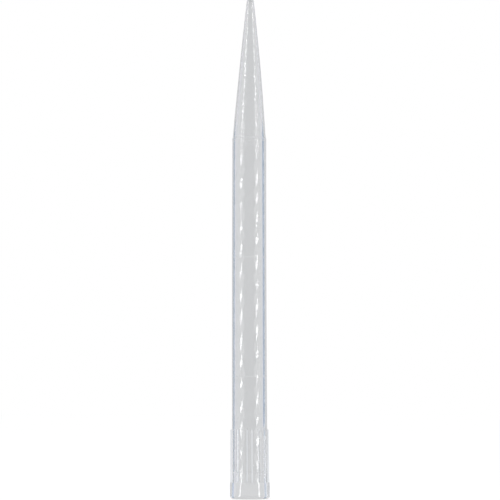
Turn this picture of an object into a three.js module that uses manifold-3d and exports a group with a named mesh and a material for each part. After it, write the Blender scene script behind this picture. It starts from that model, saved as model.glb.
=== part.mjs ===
// Pipette tip of the 5 ml macro size, injection-moulded in one piece from clear polypropylene.
// Units are millimetres and +Z is up. The tip stands on the rim of its collar, with the orifice at the top:
// the origin is the centre of the mouth, where the pipette's nozzle enters, and the axis is +Z.
import * as THREE from "three";
import { mergeVertices } from "three/addons/utils/BufferGeometryUtils.js";
import Module from "manifold-3d";

// ---- Driving dimensions ----

const TIP_LENGTH = 150;

// Barrel: a thin-walled tube with a little draft, widest at the collar.
const BARREL_RADIUS_AT_COLLAR = 5.27;
const BARREL_RADIUS_AT_SHOULDER = 5.08;
const BARREL_WALL = 0.9;

// Nose: the long taper down to the orifice. Its outline bulges a little beyond a straight cone.
const NOSE_LENGTH = 41.4;
const NOSE_BULGE = 0.2;
const SHOULDER_STEP = 0.15;
const SHOULDER_CHAMFER = 0.12;
const ORIFICE_RADIUS = 0.6;
const ORIFICE_WALL = 0.45;
const ORIFICE_EDGE_RADIUS = 0.2;

// Volume rings: fine raised lines round the barrel. Each depth is the height of that sample above the orifice.
// The shoulder serves as the 1 ml mark.
const THREE_ML_RING_DEPTH = 77.4;
const FIVE_ML_RING_DEPTH = 113.2;
const VOLUME_RING_WIDTH = 0.4;
const VOLUME_RING_HEIGHT = 0.05;
const VOLUME_RING_BEVEL = 0.1;

// Collar: a plain rim round the mouth, and ribs that run from the rim up the barrel.
const COLLAR_LENGTH = 20.9;
const RIM_RADIUS = 5.96;
const RIM_HEIGHT = 5.0;
const RIM_TOP_CHAMFER = 0.08;
const LIP_RADIUS = 0.85;
const RIB_COUNT = 8;
const RIB_THICKNESS = 0.55;
const RIB_TOP_RADIUS = 5.75;
const RIB_CORNER_RADIUS = 0.3;

// Socket: the bore behind the mouth that the pipette's nozzle is pressed into.
const MOUTH_CHAMFER = 0.1;
const LEAD_IN_RADIUS = 4.62;
const LEAD_IN_DEPTH = 7.9;
const LEAD_IN_STEP_LENGTH = 0.25;
const SOCKET_RADIUS = 4.48;

// Finish of the model's curves.
const ROUND_SEGMENTS = 64;
const CURVE_DIVISIONS = 4;
const MERGE_DISTANCE = 1e-4;

// ---- Places that follow from the driving dimensions ----

const shoulderZ = TIP_LENGTH - NOSE_LENGTH;
const noseBaseRadius = BARREL_RADIUS_AT_SHOULDER - SHOULDER_STEP;
const orificeRimRadius = ORIFICE_RADIUS + ORIFICE_WALL;
const boreRadiusAtShoulder = BARREL_RADIUS_AT_SHOULDER - BARREL_WALL;
const boreRadiusAtCollar = BARREL_RADIUS_AT_COLLAR - BARREL_WALL;
const ribFootRadius = RIM_RADIUS - RIM_TOP_CHAMFER;

// Radius of the barrel's outside at a height, along its draft.
function barrelRadius(z) {
  const share = (z - COLLAR_LENGTH) / (shoulderZ - COLLAR_LENGTH);
  return THREE.MathUtils.lerp(BARREL_RADIUS_AT_COLLAR, BARREL_RADIUS_AT_SHOULDER, share);
}

// ---- The turned section, drawn as radius against height ----

// The lip: a quarter round between the flat end face and the rim's side.
function drawLip(section) {
  const centreRadius = RIM_RADIUS - LIP_RADIUS;
  section.lineTo(centreRadius, 0);
  section.absarc(centreRadius, LIP_RADIUS, LIP_RADIUS, -Math.PI / 2, 0, false);
}

// One volume ring: a low bead with bevelled sides, measured from the orifice.
function drawVolumeRing(section, depth) {
  const centreZ = TIP_LENGTH - depth;
  const low = centreZ - VOLUME_RING_WIDTH / 2;
  const high = centreZ + VOLUME_RING_WIDTH / 2;
  section.lineTo(barrelRadius(low), low);
  section.lineTo(barrelRadius(low) + VOLUME_RING_HEIGHT, low + VOLUME_RING_BEVEL);
  section.lineTo(barrelRadius(high) + VOLUME_RING_HEIGHT, high - VOLUME_RING_BEVEL);
  section.lineTo(barrelRadius(high), high);
}

// One side of the nose, from the section's present point: a straight taper pushed out by the bulge.
// The curve's middle moves half as far as its control point does, so that point moves by twice the bulge.
function drawTaper(section, fromRadius, toRadius, toZ) {
  const middleRadius = (fromRadius + toRadius) / 2;
  const middleZ = (shoulderZ + TIP_LENGTH) / 2;
  section.quadraticCurveTo(middleRadius + 2 * NOSE_BULGE, middleZ, toRadius, toZ);
}

function outsideOfTip(section) {
  section.moveTo(LEAD_IN_RADIUS + MOUTH_CHAMFER, 0);
  drawLip(section);
  section.lineTo(RIM_RADIUS, RIM_HEIGHT - RIM_TOP_CHAMFER);
  section.lineTo(RIM_RADIUS - RIM_TOP_CHAMFER, RIM_HEIGHT);
  section.lineTo(barrelRadius(RIM_HEIGHT), RIM_HEIGHT);
  drawVolumeRing(section, FIVE_ML_RING_DEPTH);
  drawVolumeRing(section, THREE_ML_RING_DEPTH);
  section.lineTo(BARREL_RADIUS_AT_SHOULDER, shoulderZ - SHOULDER_CHAMFER);
  section.lineTo(noseBaseRadius, shoulderZ);
  drawTaper(section, noseBaseRadius, orificeRimRadius, TIP_LENGTH - ORIFICE_EDGE_RADIUS);
  section.quadraticCurveTo(orificeRimRadius, TIP_LENGTH, orificeRimRadius - ORIFICE_EDGE_RADIUS, TIP_LENGTH);
}

function boreOfTip(section) {
  section.lineTo(ORIFICE_RADIUS, TIP_LENGTH);
  drawTaper(section, ORIFICE_RADIUS, boreRadiusAtShoulder, shoulderZ);
  section.lineTo(boreRadiusAtCollar, COLLAR_LENGTH);
  section.lineTo(SOCKET_RADIUS, LEAD_IN_DEPTH + LEAD_IN_STEP_LENGTH);
  section.lineTo(LEAD_IN_RADIUS, LEAD_IN_DEPTH);
  section.lineTo(LEAD_IN_RADIUS, MOUTH_CHAMFER);
  section.lineTo(LEAD_IN_RADIUS + MOUTH_CHAMFER, 0);
}

function turnedBody() {
  const section = new THREE.Path();
  outsideOfTip(section);
  boreOfTip(section);
  const outline = section.getPoints(CURVE_DIVISIONS);
  return new THREE.LatheGeometry(outline, ROUND_SEGMENTS).rotateX(Math.PI / 2);
}

// ---- The ribs ----

// A rib's side view, radius against height: its foot is sunk in the rim, its root in the barrel's wall.
function ribGeometry() {
  const rootRadius = barrelRadius(COLLAR_LENGTH) - BARREL_WALL / 2;
  const footZ = RIM_HEIGHT / 2;
  const side = new THREE.Shape();
  side.moveTo(rootRadius, footZ);
  side.lineTo(ribFootRadius, footZ);
  side.lineTo(ribFootRadius, RIM_HEIGHT);
  side.lineTo(RIB_TOP_RADIUS, COLLAR_LENGTH - RIB_CORNER_RADIUS);
  side.quadraticCurveTo(RIB_TOP_RADIUS, COLLAR_LENGTH, RIB_TOP_RADIUS - RIB_CORNER_RADIUS, COLLAR_LENGTH);
  side.lineTo(rootRadius, COLLAR_LENGTH);
  side.closePath();
  return new THREE.ExtrudeGeometry(side, {
    depth: RIB_THICKNESS,
    bevelEnabled: false,
    curveSegments: CURVE_DIVISIONS,
  })
    .translate(0, 0, -RIB_THICKNESS / 2)
    .rotateX(Math.PI / 2);
}

// ---- Joining the ribs to the body ----

const wasm = await Module();
wasm.setup();

// A closed three.js geometry as a solid that can be joined or cut.
function solidOf(geometry) {
  const plain = geometry.clone().deleteAttribute("normal").deleteAttribute("uv");
  const merged = mergeVertices(plain, MERGE_DISTANCE);
  const mesh = new wasm.Mesh({
    numProp: 3,
    vertProperties: merged.attributes.position.array,
    triVerts: new Uint32Array(merged.index.array),
  });
  return new wasm.Manifold(mesh);
}

// A solid as a three.js geometry again, with flat normals that keep its edges crisp.
function geometryOf(solid) {
  const mesh = solid.getMesh();
  const geometry = new THREE.BufferGeometry();
  geometry.setAttribute("position", new THREE.BufferAttribute(mesh.vertProperties, mesh.numProp));
  geometry.setIndex(new THREE.BufferAttribute(mesh.triVerts, 1));
  const faceted = geometry.toNonIndexed();
  faceted.computeVertexNormals();
  return faceted;
}

function tipGeometry() {
  let tip = solidOf(turnedBody());
  for (let rib = 0; rib < RIB_COUNT; rib += 1) {
    const turned = ribGeometry().rotateZ((rib * 2 * Math.PI) / RIB_COUNT);
    tip = tip.add(solidOf(turned));
  }
  return geometryOf(tip);
}

// ---- The model ----

const clearPolypropylene = new THREE.MeshStandardMaterial({
  color: 0xdadcdf,
  roughness: 0.12,
  metalness: 0,
  transparent: true,
  opacity: 0.45,
});

const pipetteTip = new THREE.Mesh(tipGeometry(), clearPolypropylene);
pipetteTip.name = "pipette_tip";

const model = new THREE.Group();
model.add(pipetteTip);

export default model;
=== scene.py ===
import math

import bmesh
import bpy
from mathutils import Matrix, Vector


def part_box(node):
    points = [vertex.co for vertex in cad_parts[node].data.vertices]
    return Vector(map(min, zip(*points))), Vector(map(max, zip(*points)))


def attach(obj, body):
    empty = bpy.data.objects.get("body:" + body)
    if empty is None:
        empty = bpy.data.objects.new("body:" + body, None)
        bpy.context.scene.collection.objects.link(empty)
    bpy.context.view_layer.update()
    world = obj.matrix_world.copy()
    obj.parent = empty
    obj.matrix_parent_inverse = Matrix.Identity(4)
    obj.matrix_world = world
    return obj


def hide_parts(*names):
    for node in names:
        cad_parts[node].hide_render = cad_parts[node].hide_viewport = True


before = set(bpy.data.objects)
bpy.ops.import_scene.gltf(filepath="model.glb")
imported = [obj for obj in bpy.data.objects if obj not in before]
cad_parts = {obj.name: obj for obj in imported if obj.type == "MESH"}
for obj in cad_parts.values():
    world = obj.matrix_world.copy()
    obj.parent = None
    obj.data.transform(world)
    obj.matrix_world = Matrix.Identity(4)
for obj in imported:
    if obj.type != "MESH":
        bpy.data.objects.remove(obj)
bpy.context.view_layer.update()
tip_low, tip_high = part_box("pipette_tip")

# The rim.
# The tip is one shot of clear polypropylene. Its rim is the plain ring that it stands on and that the
# pipette's ejector pushes against, with a flat end and a rounded lip. Sizes are in millimetres.

MM = 0.001
TIP_LENGTH = tip_high.z / MM
RIM_RADIUS = tip_high.x / MM
RIM_HEIGHT = 5.0
RIM_TOP_ROUNDING = 0.08
LIP_RADIUS = 0.85
LIP_STEPS = 14
EDGE_STEPS = 8
LEAD_IN_RADIUS = 4.62
MOUTH_CHAMFER = 0.1
BARREL_RADIUS_AT_COLLAR = 5.27
BARREL_RADIUS_AT_SHOULDER = 5.08
COLLAR_LENGTH = 20.9
NOSE_LENGTH = 41.4
LONG_RUN = 1.5
HOLDING_GAP = 0.12
ROUND_STEPS = 232
OUTSIDE, BORE = 1, -1

shoulder_z = TIP_LENGTH - NOSE_LENGTH


def barrel_radius(z):
    """The barrel's outer radius at a height, along its draft."""
    share = (z - COLLAR_LENGTH) / (shoulder_z - COLLAR_LENGTH)
    return BARREL_RADIUS_AT_COLLAR + share * (
        BARREL_RADIUS_AT_SHOULDER - BARREL_RADIUS_AT_COLLAR
    )


def arc(centre, radius, start, end, steps):
    """Points of an arc, as (radius, height), with its angles in degrees from the outward direction."""
    turns = [math.radians(start + (end - start) * i / steps) for i in range(steps + 1)]
    return [
        (centre[0] + radius * math.cos(t), centre[1] + radius * math.sin(t))
        for t in turns
    ]


def held_flat(section):
    """The same section with a second point near each end of a long run, so that the run shades straight."""
    held = [section[0]]
    for start, end in zip(section, section[1:]):
        length = math.dist(start, end)
        if length > LONG_RUN:
            for share in (HOLDING_GAP / length, 1 - HOLDING_GAP / length):
                held.append(
                    tuple(a + share * (b - a) for a, b in zip(start, end))
                )
        held.append(end)
    return held


tip = bmesh.new()
skin_side = tip.verts.layers.float.new("skin_side")


def turn(section, side):
    """Spins a section round the tip's axis, from its points as (radius, height). Each point keeps the
    side of the wall that it is on."""
    points = [
        tip.verts.new((radius * MM, 0, height * MM)) for radius, height in held_flat(section)
    ]
    for point in points:
        point[skin_side] = side
    edges = [tip.edges.new(pair) for pair in zip(points, points[1:])]
    bmesh.ops.spin(
        tip,
        geom=points + edges,
        cent=(0, 0, 0),
        axis=(0, 0, 1),
        angle=math.tau,
        steps=ROUND_STEPS,
        use_merge=True,
    )


mouth_edge = (LEAD_IN_RADIUS + MOUTH_CHAMFER, 0)
lip_centre = (RIM_RADIUS - LIP_RADIUS, LIP_RADIUS)
rim_top_centre = (RIM_RADIUS - RIM_TOP_ROUNDING, RIM_HEIGHT - RIM_TOP_ROUNDING)
rim_inner_top = (barrel_radius(RIM_HEIGHT), RIM_HEIGHT)
turn(
    [mouth_edge]
    + arc(lip_centre, LIP_RADIUS, -90, 0, LIP_STEPS)
    + arc(rim_top_centre, RIM_TOP_ROUNDING, 0, 90, EDGE_STEPS)
    + [rim_inner_top],
    OUTSIDE,
)

# The barrel and the nose.
# A thin-walled tube with a little draft, and two fine rings at the 5 ml and 3 ml marks. A soft shoulder
# where the mould's inserts meet is the 1 ml mark, and above it the nose tapers with a slight bulge.

RIB_TOP_RADIUS = 5.75
RIB_CORNER_RADIUS = 0.3
THREE_ML_RING_DEPTH = 77.4
FIVE_ML_RING_DEPTH = 113.2
VOLUME_RING_WIDTH = 0.4
VOLUME_RING_HEIGHT = 0.05
VOLUME_RING_STEPS = 8
SHOULDER_STEP = 0.15
SHOULDER_RUN = 0.65
SHOULDER_FLARE = 0.06
SHOULDER_FLARE_RUN = 0.4
SHOULDER_STEPS = 8
NOSE_BULGE = 0.2
NOSE_STEPS = 32
ORIFICE_RADIUS = 0.6
ORIFICE_WALL = 0.45
ORIFICE_EDGE_RADIUS = 0.2

orifice_edge_z = TIP_LENGTH - ORIFICE_EDGE_RADIUS
orifice_rim_radius = ORIFICE_RADIUS + ORIFICE_WALL


def rib_outline():
    """A rib's outer edge from its foot to its rounded top, as (radius, height)."""
    foot = (RIM_RADIUS - RIM_TOP_ROUNDING, RIM_HEIGHT)
    centre = (RIB_TOP_RADIUS - RIB_CORNER_RADIUS, COLLAR_LENGTH - RIB_CORNER_RADIUS)
    return [foot] + arc(centre, RIB_CORNER_RADIUS, 0, 90, EDGE_STEPS)


def volume_ring(depth):
    """Points over one volume ring: a low round bead, centred at a depth below the orifice."""
    low = TIP_LENGTH - depth - VOLUME_RING_WIDTH / 2
    points = []
    for i in range(VOLUME_RING_STEPS + 1):
        share = i / VOLUME_RING_STEPS
        height = low + VOLUME_RING_WIDTH * share
        swell = VOLUME_RING_HEIGHT * math.sin(math.pi * share)
        points.append((barrel_radius(height) + swell, height))
    return points


def eased(share):
    """Goes from 0 to 1 as the share does, with a soft start and a soft end."""
    return share * share * (3 - 2 * share)


def shoulder():
    """Points over the shoulder: a slight flare, then a soft step down from the barrel to the nose."""
    points = []
    for i in range(SHOULDER_STEPS):
        share = i / SHOULDER_STEPS
        height = shoulder_z - SHOULDER_RUN - SHOULDER_FLARE_RUN * (1 - share)
        points.append((barrel_radius(height) + SHOULDER_FLARE * eased(share), height))
    for i in range(SHOULDER_STEPS + 1):
        share = i / SHOULDER_STEPS
        height = shoulder_z - SHOULDER_RUN * (1 - share)
        drop = (SHOULDER_STEP + SHOULDER_FLARE) * eased(share)
        points.append((barrel_radius(height) + SHOULDER_FLARE - drop, height))
    return points


def bulged(start, end):
    """Points from start to end along a straight taper that is pushed outwards by the nose's bulge."""
    points = []
    for i in range(NOSE_STEPS + 1):
        share = i / NOSE_STEPS
        radius = start[0] + share * (end[0] - start[0])
        height = start[1] + share * (end[1] - start[1])
        points.append((radius + 4 * NOSE_BULGE * share * (1 - share), height))
    return points


# The barrel has points at the heights of a rib's outline, so that the ribs can be raised from it.
rib_heights = [height for _, height in rib_outline()]
nose_base = shoulder()[-1]
orifice_edge_centre = (orifice_rim_radius - ORIFICE_EDGE_RADIUS, orifice_edge_z)
turn(
    [(barrel_radius(height), height) for height in rib_heights]
    + volume_ring(FIVE_ML_RING_DEPTH)
    + volume_ring(THREE_ML_RING_DEPTH)
    + shoulder()
    + bulged(nose_base, (orifice_rim_radius, orifice_edge_z))[1:]
    + arc(orifice_edge_centre, ORIFICE_EDGE_RADIUS, 0, 90, EDGE_STEPS + 1)[1:]
    + [(ORIFICE_RADIUS, TIP_LENGTH)],
    OUTSIDE,
)

# The bore.
# A long polished core pin forms it: the orifice, the tapered bore of the nose and the barrel, and the
# stepped socket that the pipette's nozzle is pressed into.

BARREL_WALL = 0.9
SOCKET_RADIUS = 4.48
LEAD_IN_DEPTH = 7.9
LEAD_IN_STEP_LENGTH = 0.25
CORE_SHIFT = 0.18
TOLERANCE = 0.001

bore_at_shoulder = (BARREL_RADIUS_AT_SHOULDER - BARREL_WALL, shoulder_z)
bore_at_collar = (BARREL_RADIUS_AT_COLLAR - BARREL_WALL, COLLAR_LENGTH)
turn(
    bulged((ORIFICE_RADIUS, TIP_LENGTH), bore_at_shoulder)
    + [
        bore_at_collar,
        (SOCKET_RADIUS, LEAD_IN_DEPTH + LEAD_IN_STEP_LENGTH),
        (LEAD_IN_RADIUS, LEAD_IN_DEPTH),
        (LEAD_IN_RADIUS, MOUTH_CHAMFER),
        mouth_edge,
    ],
    BORE,
)
bmesh.ops.remove_doubles(tip, verts=tip.verts, dist=TOLERANCE * MM)

# The pin stands a hair off centre, held true only at the orifice, so the wall is thinner on one side.
for vertex in tip.verts:
    if vertex[skin_side] == BORE:
        below_orifice = (TIP_LENGTH - vertex.co.z / MM) / NOSE_LENGTH
        vertex.co.x -= CORE_SHIFT * MM * min(below_orifice, 1)

# The collar's ribs.
# Thin straight fins of the same moulding, standing on the rim's top and rounded off where they end on
# the barrel. They stiffen the socket and give the rack and the fingers something to hold.

RIB_COUNT = 8
RIB_THICKNESS = 0.55
RIB_STEPS = 4
RIB_EDGE_ROUNDING = 0.06
RIB_EDGE_SEGMENTS = 3
RIB_EDGE_ANGLE = math.radians(60)
ANGLE_TOLERANCE = 0.001

rib_half_angle = RIB_STEPS / 2 * math.tau / ROUND_STEPS


def from_rib(point):
    """The nearest rib's angle, and the point's place against that rib: out along it and sideways."""
    pitch = math.tau / RIB_COUNT
    angle = math.atan2(point.y, point.x)
    rib = round(angle / pitch) * pitch
    distance = math.hypot(point.x, point.y) / MM
    return rib, distance * math.cos(angle - rib), distance * math.sin(angle - rib)


def within_rib(face):
    """True if the face lies inside the angle that a rib takes up."""
    _, out, sideways = from_rib(face.calc_center_median())
    return abs(math.atan2(sideways, out)) < rib_half_angle


def on_collar(face):
    """True if the face is on the barrel's outside, at the height of the ribs."""
    centre = face.calc_center_median() / MM
    wall_middle = BARREL_RADIUS_AT_COLLAR - BARREL_WALL / 2
    return RIM_HEIGHT < centre.z < COLLAR_LENGTH and centre.xy.length > wall_middle


def on_rim_top(face):
    """True if the face lies flat at the height of the rim's top."""
    return all(abs(v.co.z / MM - RIM_HEIGHT) < TOLERANCE for v in face.verts)


def stands_out(vertex):
    """True for a point beside the collar that is clear of the barrel."""
    height = vertex.co.z / MM
    distance = math.hypot(vertex.co.x, vertex.co.y) / MM
    beside_collar = RIM_HEIGHT - TOLERANCE < height < COLLAR_LENGTH + TOLERANCE
    return beside_collar and distance > barrel_radius(height) + TOLERANCE


# The barrel's skin is raised to the rib's outline, and the rim's top is opened under each foot.
covered = [f for f in tip.faces if on_rim_top(f) and within_rib(f)]
bmesh.ops.delete(tip, geom=covered, context="FACES")
rooted = [f for f in tip.faces if on_collar(f) and within_rib(f)]
raised = bmesh.ops.extrude_face_region(tip, geom=rooted)["geom"]
bmesh.ops.delete(tip, geom=[f for f in rooted if f.is_valid], context="FACES")
outline = rib_outline()
for vertex in [g for g in raised if isinstance(g, bmesh.types.BMVert)]:
    radius = min(outline, key=lambda p: abs(p[1] - vertex.co.z / MM))[0]
    vertex.co.xy = vertex.co.xy.normalized() * radius * MM
under_feet = [f for f in tip.faces if on_rim_top(f) and within_rib(f)]
bmesh.ops.delete(tip, geom=under_feet, context="FACES")
bmesh.ops.remove_doubles(tip, verts=tip.verts, dist=TOLERANCE * MM)

# A rib's sides are parallel, so what stands out at its edges moves in to half its thickness.
for vertex in tip.verts:
    rib, out, sideways = from_rib(vertex.co)
    at_edge = abs(abs(math.atan2(sideways, out)) - rib_half_angle) < ANGLE_TOLERANCE
    if stands_out(vertex) and at_edge:
        side = math.copysign(RIB_THICKNESS / 2, sideways)
        vertex.co.xy = Matrix.Rotation(rib, 2) @ Vector((out, side)) * MM

rib_edges = [
    e
    for e in tip.edges
    if all(stands_out(v) for v in e.verts)
    and abs(e.verts[0].co.z - e.verts[1].co.z) > TOLERANCE * MM
    and e.calc_face_angle(0) > RIB_EDGE_ANGLE
]
bmesh.ops.bevel(
    tip,
    geom=rib_edges,
    offset=RIB_EDGE_ROUNDING * MM,
    affect="EDGES",
    segments=RIB_EDGE_SEGMENTS,
    profile=0.5,
    material=-1,
    clamp_overlap=True,
)

# The finished moulding.
# It has crisp steps and smooth rounds. It is so long and thin that it cools a little unevenly: above
# the stiff rim it bows by a fifth of a millimetre, and the nose leans back.

CRISP_ANGLE = math.radians(12)
WARP = 0.22
NOSE_LEAN = 0.15

bmesh.ops.recalc_face_normals(tip, faces=tip.faces)
for face in tip.faces:
    face.smooth = True
for edge in tip.edges:
    edge.smooth = edge.calc_face_angle(0) < CRISP_ANGLE

for vertex in tip.verts:
    height = vertex.co.z / MM
    bow_share = max(height - RIM_HEIGHT, 0) / (TIP_LENGTH - RIM_HEIGHT)
    bow = WARP * math.sin(math.pi * bow_share)
    lean_share = min(max((height - shoulder_z) / (NOSE_LENGTH / 2), 0), 1)
    lean = NOSE_LEAN * eased(lean_share)
    vertex.co.x += (lean - bow) * MM

tip_mesh = bpy.data.meshes.new("clear_tip")
tip.to_mesh(tip_mesh)
tip.free()
clear_tip = bpy.data.objects.new("clear_tip", tip_mesh)
bpy.context.scene.collection.objects.link(clear_tip)
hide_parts("pipette_tip")
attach(clear_tip, "root")

# The clear plastic.
# Natural polypropylene with a moulded skin. Its shine is a coat that varies over the surface, so the
# plastic under the coat has none of its own.

REFRACTIVE_INDEX = 1.49
CLARITY = 1.0
SKIN_ROUGHNESS = 0.03


def number_node(tree, operation, *values):
    """A Math node with its inputs set from numbers or linked from sockets."""
    node = tree.nodes.new("ShaderNodeMath")
    node.operation = operation
    for socket, value in zip(node.inputs, values):
        if isinstance(value, (int, float)):
            socket.default_value = value
        else:
            tree.links.new(value, socket)
    return node.outputs[0]


def noise_node(tree, place, fineness, detail):
    """A noise pattern over a place, from 0 to 1."""
    node = tree.nodes.new("ShaderNodeTexNoise")
    node.inputs["Scale"].default_value = fineness
    node.inputs["Detail"].default_value = detail
    tree.links.new(place, node.inputs["Vector"])
    return node.outputs[0]


def fade_node(tree, value, start, end):
    """0 where the value is at the start, 1 where it is at the end, and smooth between them."""
    node = tree.nodes.new("ShaderNodeMapRange")
    node.interpolation_type = "SMOOTHSTEP"
    node.inputs["From Min"].default_value = start
    node.inputs["From Max"].default_value = end
    tree.links.new(value, node.inputs["Value"])
    return node.outputs[0]


def mixed_colour(tree, share, first, second):
    """A colour that goes from the first to the second. Each is a plain colour or a socket."""
    node = tree.nodes.new("ShaderNodeMix")
    node.data_type = "RGBA"
    tree.links.new(share, node.inputs["Factor"])
    for socket, colour in ((node.inputs["A"], first), (node.inputs["B"], second)):
        if isinstance(colour, tuple):
            socket.default_value = colour
        else:
            tree.links.new(colour, socket)
    return node.outputs["Result"]


clear_plastic = bpy.data.materials.new("clear_polypropylene")
clear_plastic.use_nodes = True
clear_plastic.cycles.emission_sampling = "NONE"
tree = clear_plastic.node_tree
tree.nodes.clear()
plastic = tree.nodes.new("ShaderNodeBsdfPrincipled")
plastic.inputs["IOR"].default_value = REFRACTIVE_INDEX
plastic.inputs["Transmission Weight"].default_value = CLARITY
plastic.inputs["Specular Tint"].default_value = (0, 0, 0, 1)
plastic.inputs["Coat IOR"].default_value = REFRACTIVE_INDEX
plastic.inputs["Coat Roughness"].default_value = SKIN_ROUGHNESS
output = tree.nodes.new("ShaderNodeOutputMaterial")
tree.links.new(plastic.outputs[0], output.inputs["Surface"])

# Where a point of the skin is: its height and its distance from the axis in millimetres, its angle
# round the axis, and the side of the wall that it is on.
place = tree.nodes.new("ShaderNodeTexCoord").outputs["Object"]
axes = tree.nodes.new("ShaderNodeSeparateXYZ")
tree.links.new(place, axes.inputs[0])
height = number_node(tree, "MULTIPLY", axes.outputs["Z"], 1 / MM)
around = number_node(tree, "ARCTAN2", axes.outputs["Y"], axes.outputs["X"])
flat = tree.nodes.new("ShaderNodeCombineXYZ")
tree.links.new(axes.outputs["X"], flat.inputs["X"])
tree.links.new(axes.outputs["Y"], flat.inputs["Y"])
across = tree.nodes.new("ShaderNodeVectorMath")
across.operation = "LENGTH"
tree.links.new(flat.outputs[0], across.inputs[0])
radius = number_node(tree, "MULTIPLY", across.outputs["Value"], 1 / MM)
side_mark = tree.nodes.new("ShaderNodeAttribute")
side_mark.attribute_name = "skin_side"
wall_side = side_mark.outputs["Fac"]

# The ripples and draw lines.
# The plastic flows unevenly into a long thin cavity and shrinks off the steel as it sets, which leaves
# slanting flutes on the barrel and fine ripples on the nose. Drawing it off leaves straight lines.

BARREL_RIPPLES_AROUND = 24
BARREL_RIPPLE_PITCH = 6.6
BARREL_RIPPLE_HEIGHT = 0.005
RIPPLE_WANDER = 3.0
RIPPLE_WANDER_FINENESS = 130
RIPPLE_UNEVENNESS = 1.2
RIPPLE_UNEVENNESS_FINENESS = 450
NOSE_RIPPLE_FINENESS = 1300
NOSE_RIPPLE_HEIGHT = 0.03
NOSE_RIPPLE_START = 4.5
RIPPLE_FADE = 3.0
DRAW_LINE_FINENESS = 1500
DRAW_LINE_STRETCH = 100
DRAW_LINE_HEIGHT = 0.002

above_rim = fade_node(tree, height, RIM_HEIGHT, RIM_HEIGHT + RIPPLE_FADE)
nose_start = shoulder_z - NOSE_RIPPLE_START
on_nose = fade_node(
    tree, height, nose_start - RIPPLE_FADE / 2, nose_start + RIPPLE_FADE / 2
)
on_barrel = number_node(tree, "SUBTRACT", above_rim, on_nose)

# The barrel's flutes are 0 on the ridges between them and 1 in the middle of their hollows.
slow_noise = noise_node(tree, place, RIPPLE_WANDER_FINENESS, 2)
quick_noise = noise_node(tree, place, RIPPLE_UNEVENNESS_FINENESS, 1)
wander = number_node(tree, "MULTIPLY", slow_noise, RIPPLE_WANDER)
unevenness = number_node(tree, "MULTIPLY", quick_noise, RIPPLE_UNEVENNESS)
strays = number_node(tree, "ADD", wander, unevenness)
turns = number_node(tree, "MULTIPLY", around, BARREL_RIPPLES_AROUND / 2)
climb = number_node(tree, "MULTIPLY", height, math.pi / BARREL_RIPPLE_PITCH)
phase = number_node(tree, "ADD", number_node(tree, "ADD", turns, climb), strays)
barrel_flutes = number_node(tree, "ABSOLUTE", number_node(tree, "SINE", phase))
nose_ripples = noise_node(tree, place, NOSE_RIPPLE_FINENESS, 0)


def hollows(ripple, depth, where):
    """The height of a ripple's hollows, sunk by a share of the radius, where they are wanted."""
    sunk = number_node(tree, "MULTIPLY", ripple, -depth)
    return number_node(tree, "MULTIPLY", sunk, where)


outward_share = number_node(
    tree,
    "ADD",
    hollows(barrel_flutes, BARREL_RIPPLE_HEIGHT, on_barrel),
    hollows(nose_ripples, NOSE_RIPPLE_HEIGHT, on_nose),
)
outward_height = number_node(tree, "MULTIPLY", outward_share, radius)
skin_height = number_node(tree, "MULTIPLY", outward_height, wall_side)
stretch = tree.nodes.new("ShaderNodeMapping")
stretch.inputs["Scale"].default_value = (1, 1, 1 / DRAW_LINE_STRETCH)
tree.links.new(place, stretch.inputs["Vector"])
draw_noise = noise_node(tree, stretch.outputs[0], DRAW_LINE_FINENESS, 3)
draw_lines = number_node(tree, "MULTIPLY", draw_noise, DRAW_LINE_HEIGHT)
for relief, socket in ((draw_lines, "Normal"), (skin_height, "Coat Normal")):
    bump = tree.nodes.new("ShaderNodeBump")
    bump.inputs["Distance"].default_value = MM
    tree.links.new(relief, bump.inputs["Height"])
    tree.links.new(bump.outputs[0], plastic.inputs[socket])

# The matt lines and the haze.
# Where the mould's inserts meet, and on the volume rings, the steel is matt and leaves a fine rough matt
# line. Its paleness is painted light, in the colour below. Elsewhere the plastic has only a faint uneven
# haze.

RING_LINE_WIDTH = 0.4
SHOULDER_LINE_WIDTH = 0.7
MATT_LINE_EDGE = 0.1
MATT_LINE_ROUGHNESS = 0.15
MATT_LINE_PAINTED_PALENESS = 0.1
HAZE_FINENESS = 260
LEAST_HAZE = 0.01
MOST_HAZE = 0.04

matt_lines = 0
for line_z, width in (
    (TIP_LENGTH - FIVE_ML_RING_DEPTH, RING_LINE_WIDTH),
    (TIP_LENGTH - THREE_ML_RING_DEPTH, RING_LINE_WIDTH),
    (shoulder_z - SHOULDER_RUN / 2, SHOULDER_LINE_WIDTH),
):
    away = number_node(tree, "ABSOLUTE", number_node(tree, "SUBTRACT", height, line_z))
    outer_edge = width * (1 / 2 + MATT_LINE_EDGE)
    inner_edge = width * (1 / 2 - MATT_LINE_EDGE)
    line = fade_node(tree, away, outer_edge, inner_edge)
    matt_lines = number_node(tree, "ADD", matt_lines, line)

haze = tree.nodes.new("ShaderNodeMapRange")
haze.inputs["To Min"].default_value = LEAST_HAZE
haze.inputs["To Max"].default_value = MOST_HAZE
tree.links.new(noise_node(tree, place, HAZE_FINENESS, 4), haze.inputs["Value"])
line_roughness = number_node(tree, "MULTIPLY", matt_lines, MATT_LINE_ROUGHNESS)
roughness = number_node(tree, "ADD", haze.outputs[0], line_roughness)
tree.links.new(roughness, plastic.inputs["Roughness"])

# The colour.
# Seen through, the plastic is a pale cool grey. The ribs and the matt lines are painted paler, as
# painted light, so they show lighter than the rest. The grey is all on the outside, so the bore has no
# tint.

CLEAR_TINT = (0.616, 0.624, 0.635, 1)
RIB_PAINTED_LIGHT_TINT = (0.8, 0.82, 0.85, 1)
BORE_TINT = (1, 1, 1, 1)
RIB_PAINTED_LIGHT_START = 0.1
RIB_PAINTED_LIGHT_FADE = 0.05

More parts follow.
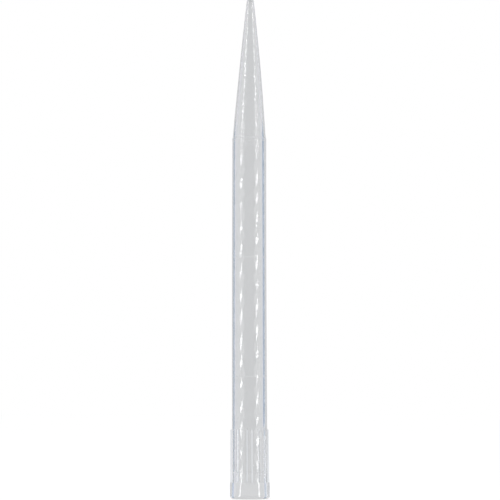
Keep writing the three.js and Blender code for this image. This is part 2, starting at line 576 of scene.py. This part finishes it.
outer_skin = fade_node(tree, wall_side, BORE, OUTSIDE)
above_rim_top = fade_node(tree, height, RIM_HEIGHT, RIM_HEIGHT + RIB_PAINTED_LIGHT_FADE)
proud_start = BARREL_RADIUS_AT_COLLAR + RIB_PAINTED_LIGHT_START
proud = fade_node(tree, radius, proud_start, proud_start + RIB_PAINTED_LIGHT_FADE)
on_rib = number_node(tree, "MULTIPLY", above_rim_top, proud)
# Painted light: the matt lines are painted paler than the rest of the skin.
painted_pale_lines = number_node(tree, "MULTIPLY", matt_lines, MATT_LINE_PAINTED_PALENESS)
painted_paleness = number_node(tree, "MAXIMUM", on_rib, painted_pale_lines)
# Painted light: the ribs and the matt lines are mixed towards a paler tint.
skin_tint_and_painted_light = mixed_colour(tree, painted_paleness, CLEAR_TINT, RIB_PAINTED_LIGHT_TINT)
tint = mixed_colour(tree, outer_skin, BORE_TINT, skin_tint_and_painted_light)
tree.links.new(tint, plastic.inputs["Base Color"])

# The gloss.
# The skin is glossy in the hollows, where it stayed longest against the steel, and duller on the
# ridges. The bore, drawn off its pin, has less gloss than the outside.

DULL_GLOSS = 0.4
BORE_GLOSS = 0.25
HOLLOW_START = 0.05
HOLLOW_FULL = 0.35
SPECKLE_FINENESS = 1500
DULL_SPECKLE = 0.38
GLOSSY_SPECKLE = 0.52

barrel_hollows = fade_node(tree, barrel_flutes, HOLLOW_START, HOLLOW_FULL)
in_hollow = number_node(tree, "MAXIMUM", barrel_hollows, on_nose)
speckle_noise = noise_node(tree, place, SPECKLE_FINENESS, 0)
speckle = fade_node(tree, speckle_noise, DULL_SPECKLE, GLOSSY_SPECKLE)
polished = number_node(tree, "MULTIPLY", in_hollow, speckle)
unpolished = number_node(tree, "SUBTRACT", 1, polished)
dullness = number_node(tree, "MULTIPLY", unpolished, above_rim)
gloss_lost = number_node(tree, "MULTIPLY", dullness, 1 - DULL_GLOSS)
outer_gloss = number_node(tree, "SUBTRACT", 1, gloss_lost)
skin_gloss = tree.nodes.new("ShaderNodeMapRange")
skin_gloss.inputs["From Min"].default_value = BORE
skin_gloss.inputs["From Max"].default_value = OUTSIDE
skin_gloss.inputs["To Min"].default_value = BORE_GLOSS
tree.links.new(wall_side, skin_gloss.inputs["Value"])
tree.links.new(outer_gloss, skin_gloss.inputs["To Max"])
from_inside = tree.nodes.new("ShaderNodeNewGeometry").outputs["Backfacing"]
from_outside = number_node(tree, "SUBTRACT", 1, from_inside)
coat = number_node(tree, "MULTIPLY", skin_gloss.outputs[0], from_outside)
tree.links.new(coat, plastic.inputs["Coat Weight"])

# The trapped light, as a painted glow.
# A path that stays trapped in the wall would end black. In its place the plastic has a painted glow where a
# ray has been mirrored many times or has turned many times, which stands in for light its faint haze would
# scatter out.

TRAPPED_MIRRORINGS = 3.5
TRAPPED_TURNS = 11.5
PAINTED_TRAPPED_GLOW = 0.4

rays = tree.nodes.new("ShaderNodeLightPath").outputs
often_mirrored = number_node(tree, "GREATER_THAN", rays["Glossy Depth"], TRAPPED_MIRRORINGS)
long_travelled = number_node(tree, "GREATER_THAN", rays["Ray Depth"], TRAPPED_TURNS)
trapped = number_node(tree, "MAXIMUM", often_mirrored, long_travelled)
# Painted glow: the plastic glows here though it is no lamp.
tree.links.new(trapped, plastic.inputs["Emission Color"])
plastic.inputs["Emission Strength"].default_value = PAINTED_TRAPPED_GLOW
tip_mesh.materials.append(clear_plastic)

# The white surround and the floor.
# A studio's white surround, and a white floor that the tip stands on and that keeps its faint shadow.
# Both are white where they are seen, and cast less light than they show.

SURROUND_FILL = 0.6
SURROUND_WHITE = 1.0


def shows_white(tree):
    """1 for rays that show the background: seen directly, mirrored, or through the plastic."""
    rays = tree.nodes.new("ShaderNodeLightPath").outputs
    direct = number_node(tree, "MAXIMUM", rays["Is Camera Ray"], rays["Is Glossy Ray"])
    return number_node(tree, "MAXIMUM", direct, rays["Is Transmission Ray"])


world = bpy.data.worlds.new("white_surround")
bpy.context.scene.world = world
world.use_nodes = True
tree = world.node_tree
tree.nodes.clear()
either = tree.nodes.new("ShaderNodeMixShader")
tree.links.new(shows_white(tree), either.inputs[0])
for brightness, socket in zip((SURROUND_FILL, SURROUND_WHITE), either.inputs[1:]):
    surround = tree.nodes.new("ShaderNodeBackground")
    surround.inputs["Color"].default_value = (1, 1, 1, 1)
    surround.inputs["Strength"].default_value = brightness
    tree.links.new(surround.outputs[0], socket)
output = tree.nodes.new("ShaderNodeOutputWorld")
tree.links.new(either.outputs[0], output.inputs["Surface"])

FLOOR_SIZE = 4.0
FLOOR_GAP = 0.0001
FLOOR_GREY = 0.1
FLOOR_GLOW = 0.94

floor_material = bpy.data.materials.new("white_floor")
floor_material.use_nodes = True
tree = floor_material.node_tree
tree.nodes.clear()
lit = tree.nodes.new("ShaderNodeBsdfDiffuse")
lit.inputs["Color"].default_value = (FLOOR_GREY, FLOOR_GREY, FLOOR_GREY, 1)
glow = tree.nodes.new("ShaderNodeEmission")
floor_glow = number_node(tree, "MULTIPLY", shows_white(tree), FLOOR_GLOW)
tree.links.new(floor_glow, glow.inputs["Strength"])
both = tree.nodes.new("ShaderNodeAddShader")
tree.links.new(lit.outputs[0], both.inputs[0])
tree.links.new(glow.outputs[0], both.inputs[1])
output = tree.nodes.new("ShaderNodeOutputMaterial")
tree.links.new(both.outputs[0], output.inputs["Surface"])

floor_shape = bmesh.new()
bmesh.ops.create_grid(floor_shape, x_segments=1, y_segments=1, size=FLOOR_SIZE / 2)
floor_height = tip_low.z - FLOOR_GAP
bmesh.ops.translate(floor_shape, verts=floor_shape.verts, vec=(0, 0, floor_height))
floor_mesh = bpy.data.meshes.new("floor")
floor_shape.to_mesh(floor_mesh)
floor_shape.free()
floor_mesh.materials.append(floor_material)
floor = bpy.data.objects.new("floor", floor_mesh)
bpy.context.scene.collection.objects.link(floor)

# The cards round the tip.
# Blue-grey flags behind the tip draw the dark lines at its sides, with low ones for the rim. Grey
# wings, bright side cards and a dark room in front are what its gloss mirrors. Sizes are in metres.

VIEW_TURN = math.radians(-7)
MIRRORED_ONCE = 0.5
FLAG_TURN = math.radians(180 - 46.5)
FLAG_HALF_TURN = math.radians(12.3)
FLAG_DISTANCE = 0.25
FLAG_TOPS = {"left": 0.1445, "right": 0.137}
FLAG_BOTTOMS = {"left": 0, "right": 0.0184}
FLAG_SHADE = (0.49, 0.61, 0.76, 1)
RIM_FLAG_TURN = math.radians(180 - 49.5)
RIM_FLAG_HALF_TURN = math.radians(10.5)
RIM_FLAG_SHADES = {"left": (0.62, 0.74, 0.9, 1), "right": (0.78, 0.87, 0.97, 1)}
WING_TURN = math.radians(180 - 33)
WING_HALF_TURN = math.radians(28)
WING_SHADE = (0.6, 0.61, 0.63, 1)
SIDE_TURN = math.radians(102)
SIDE_HALF_TURN = math.radians(17)
SIDE_SHADE = (1.65, 1.64, 1.85, 1)
SIDE_DISTANCE = 0.6
SIDE_TOP = 0.9
ROOM_HALF_TURN = math.radians(37)
ROOM_DISTANCE = 0.8
ROOM_TOP = 1.2
ROOM_SHADE = (0, 0, 0, 1)
LOW_CARD_TOP = 0.001
NEAR_RIM = 0.012
RIM_FLAG_REACH = 0.15


def card_material(name, shade):
    """A glow that shows its shade only to light that has been mirrored. Straight through the tip it is
    white, as the surround is."""
    material = bpy.data.materials.new(name)
    material.use_nodes = True
    tree = material.node_tree
    tree.nodes.clear()
    depth = tree.nodes.new("ShaderNodeLightPath").outputs["Glossy Depth"]
    mirrored = number_node(tree, "GREATER_THAN", depth, MIRRORED_ONCE)
    paint = tree.nodes.new("ShaderNodeEmission")
    colour = mixed_colour(tree, mirrored, (1, 1, 1, 1), shade)
    tree.links.new(colour, paint.inputs["Color"])
    output = tree.nodes.new("ShaderNodeOutputMaterial")
    tree.links.new(paint.outputs[0], output.inputs["Surface"])
    return material


def card(
    name, turn_angle, half_turn, distance, bottom, top, foot_start, shade, through_plastic
):
    """A card that stands facing the tip. One that reaches the floor has a foot lying on it, from a
    starting distance out to the card. It is seen only through the plastic, or only mirrored in it."""
    shape = bmesh.new()
    bmesh.ops.create_grid(shape, x_segments=1, y_segments=1, size=0.5)
    width = 2 * distance * math.tan(half_turn)
    bmesh.ops.scale(shape, verts=shape.verts, vec=(width, top - bottom, 1))
    upright = Matrix.Rotation(math.pi / 2, 3, "X")
    bmesh.ops.rotate(shape, verts=shape.verts, matrix=upright)
    middle = (bottom + top) / 2
    bmesh.ops.translate(shape, verts=shape.verts, vec=(0, -distance, middle))
    if bottom == 0:
        lowest = [e for e in shape.edges if all(v.co.z < middle for v in e.verts)]
        foot = bmesh.ops.extrude_edge_only(shape, edges=lowest)["geom"]
        foot_ends = [g for g in foot if isinstance(g, bmesh.types.BMVert)]
        reach = foot_start / distance
        bmesh.ops.scale(shape, verts=foot_ends, vec=(reach, reach, 1))
    turned = Matrix.Rotation(turn_angle, 3, "Z")
    bmesh.ops.rotate(shape, verts=shape.verts, matrix=turned)
    mesh = bpy.data.meshes.new(name)
    shape.to_mesh(mesh)
    shape.free()
    mesh.materials.append(card_material(name, shade))
    made = bpy.data.objects.new(name, mesh)
    bpy.context.scene.collection.objects.link(made)
    made.visible_camera = False
    made.visible_diffuse = False
    made.visible_shadow = False
    made.visible_transmission = through_plastic
    made.visible_glossy = not through_plastic


for side, name in ((-1, "left"), (1, "right")):
    card(
        name + "_flag",
        turn_angle=VIEW_TURN + side * FLAG_TURN,
        half_turn=FLAG_HALF_TURN,
        distance=FLAG_DISTANCE,
        bottom=FLAG_BOTTOMS[name],
        top=FLAG_TOPS[name],
        foot_start=RIM_FLAG_REACH,
        shade=FLAG_SHADE,
        through_plastic=True,
    )
    card(
        name + "_rim_flag",
        turn_angle=VIEW_TURN + side * RIM_FLAG_TURN,
        half_turn=RIM_FLAG_HALF_TURN,
        distance=RIM_FLAG_REACH,
        bottom=0,
        top=LOW_CARD_TOP,
        foot_start=NEAR_RIM,
        shade=RIM_FLAG_SHADES[name],
        through_plastic=True,
    )
    for kind, card_turn, half_turn, shade in (
        ("_wing", WING_TURN, WING_HALF_TURN, WING_SHADE),
        ("_side", SIDE_TURN, SIDE_HALF_TURN, SIDE_SHADE),
    ):
        card(
            name + kind,
            turn_angle=VIEW_TURN + side * card_turn,
            half_turn=half_turn,
            distance=SIDE_DISTANCE,
            bottom=0,
            top=SIDE_TOP,
            foot_start=NEAR_RIM,
            shade=shade,
            through_plastic=False,
        )
card(
    "dark_room",
    turn_angle=VIEW_TURN,
    half_turn=ROOM_HALF_TURN,
    distance=ROOM_DISTANCE,
    bottom=0,
    top=ROOM_TOP,
    foot_start=RIM_FLAG_REACH,
    shade=ROOM_SHADE,
    through_plastic=False,
)

# The lamps.
# A strip lamp and a wide softbox stand at each side in front of the tip. The strips draw the bright broken
# lines down it, and a glowing card on the floor below each, a painted glint, carries its line on to the
# rim.

STRIP_TURNS = {"left": math.radians(55.6), "right": math.radians(53.4)}
STRIP_DISTANCE = 0.42
STRIP_WIDTH = 0.056
STRIP_HEIGHT = 0.62
STRIP_BRIGHTNESS = 9.5
SOFTBOX_TURN = math.radians(61)
SOFTBOX_DISTANCE = 0.5
SOFTBOX_WIDTH = 0.445
SOFTBOX_HEIGHT = 0.8
SOFTBOX_BRIGHTNESS = 1.0
PAINTED_GLINT_SHADE = (9, 9, 9, 1)


def round_axis(turn_angle, distance, height):
    """A place round the tip's axis, turned from the front to the right."""
    return Vector(
        (distance * math.sin(turn_angle), -distance * math.cos(turn_angle), height)
    )


def upright_lamp(name, turn_angle, distance, width, height, brightness):
    """An upright area lamp that stands on the floor and faces the tip. White has a brightness of 1."""
    light = bpy.data.lights.new(name, "AREA")
    light.shape = "RECTANGLE"
    light.size = width
    light.size_y = height
    light.energy = brightness * math.pi * width * height
    lamp = bpy.data.objects.new(name, light)
    lamp.location = round_axis(turn_angle, distance, height / 2)
    facing = Vector((0, 0, height / 2)) - lamp.location
    lamp.rotation_euler = facing.to_track_quat("-Z", "Y").to_euler()
    lamp.visible_transmission = False
    bpy.context.scene.collection.objects.link(lamp)


for side, name in ((-1, "left"), (1, "right")):
    strip_turn = VIEW_TURN + side * STRIP_TURNS[name]
    upright_lamp(
        name + "_strip",
        turn_angle=strip_turn,
        distance=STRIP_DISTANCE,
        width=STRIP_WIDTH,
        height=STRIP_HEIGHT,
        brightness=STRIP_BRIGHTNESS,
    )
    upright_lamp(
        name + "_softbox",
        turn_angle=VIEW_TURN + side * SOFTBOX_TURN,
        distance=SOFTBOX_DISTANCE,
        width=SOFTBOX_WIDTH,
        height=SOFTBOX_HEIGHT,
        brightness=SOFTBOX_BRIGHTNESS,
    )
    # A painted glint: a glowing card, no lamp, that paints the strip's reflection on the floor.
    card(
        name + "_painted_bench_glint",
        turn_angle=strip_turn,
        half_turn=math.atan(STRIP_WIDTH / 2 / STRIP_DISTANCE),
        distance=STRIP_DISTANCE,
        bottom=0,
        top=LOW_CARD_TOP,
        foot_start=NEAR_RIM,
        shade=PAINTED_GLINT_SHADE,
        through_plastic=False,
    )

# The camera.
# A long lens a metre away and low down, which looks up the tip a little.

CAMERA_DISTANCE = 1.0
CAMERA_HEIGHT = 0.037
CAMERA_AIM_HEIGHT = 0.0747
CAMERA_AIM_ASIDE = 0.00005
CAMERA_LENS = 239.8
CAMERA_SENSOR = 36
CAMERA_NEAR = 0.01
CAMERA_FAR = 20

camera_data = bpy.data.cameras.new("camera")
camera_data.lens = CAMERA_LENS
camera_data.sensor_width = CAMERA_SENSOR
camera_data.clip_start = CAMERA_NEAR
camera_data.clip_end = CAMERA_FAR
camera = bpy.data.objects.new("camera", camera_data)
camera.location = round_axis(VIEW_TURN, CAMERA_DISTANCE, CAMERA_HEIGHT)
aim = Vector((CAMERA_AIM_ASIDE, 0, CAMERA_AIM_HEIGHT)) - camera.location
camera.rotation_euler = aim.to_track_quat("-Z", "Y").to_euler()
bpy.context.scene.collection.objects.link(camera)
bpy.context.scene.camera = camera
bpy.context.scene.view_settings.view_transform = "Standard"
